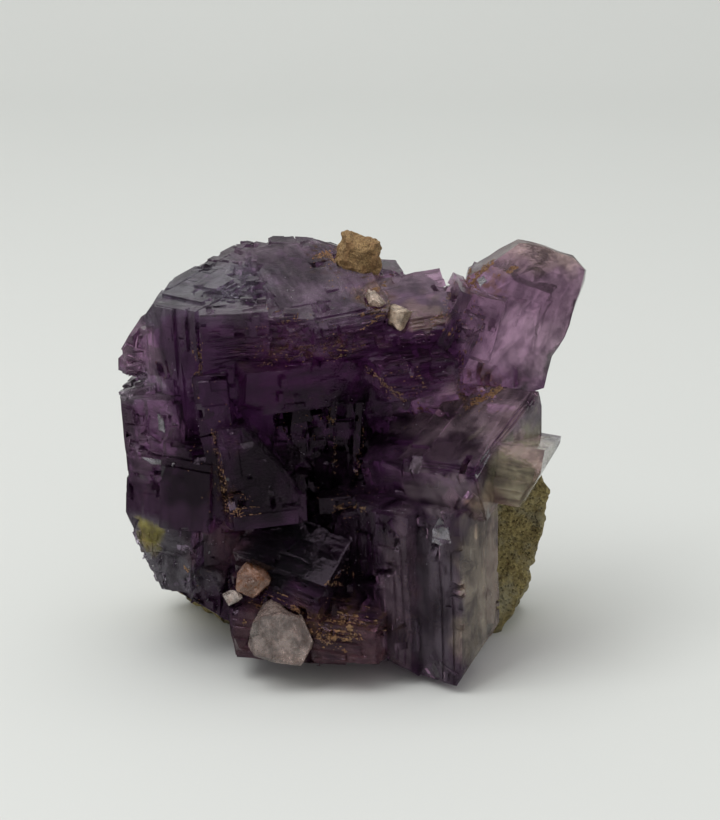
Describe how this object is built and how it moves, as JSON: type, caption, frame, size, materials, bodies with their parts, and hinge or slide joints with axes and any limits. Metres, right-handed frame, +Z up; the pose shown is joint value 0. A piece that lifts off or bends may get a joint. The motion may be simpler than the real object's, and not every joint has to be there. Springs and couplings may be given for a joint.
{
  "type": "fluorite cube specimen",
  "caption": "Hand-sized cluster of stepped purple fluorite cubes with pale quartz crystals on a remnant of host rock, standing upright.",
  "frame": {"origin": "bottom centre of the specimen's box, on the surface it stands on", "axes": "+Z up, -Y towards the display side where the cubes point, +X to the right seen from the front"},
  "size_m": [0.0634, 0.0384, 0.0583],
  "materials": {
    "purple_fluorite": "clear to cloudy purple crystal, stepped and chipped faces, rust film in the joints",
    "host_rock": "rough matt yellow-green to grey rock",
    "iron_oxide": "rough matt brown crumb",
    "pale_quartz": "cloudy pale pinkish crystal with faint rust stain"
  },
  "bodies": {
    "root": {"fluorite_cluster": "purple_fluorite", "rock_matrix": "host_rock", "iron_crumb": "iron_oxide", "quartz_front": "pale_quartz", "quartz_side": "pale_quartz", "quartz_side_small": "pale_quartz", "pale_grain": "pale_quartz", "pale_grain_small": "pale_quartz"}
  },
  "joints": []
}
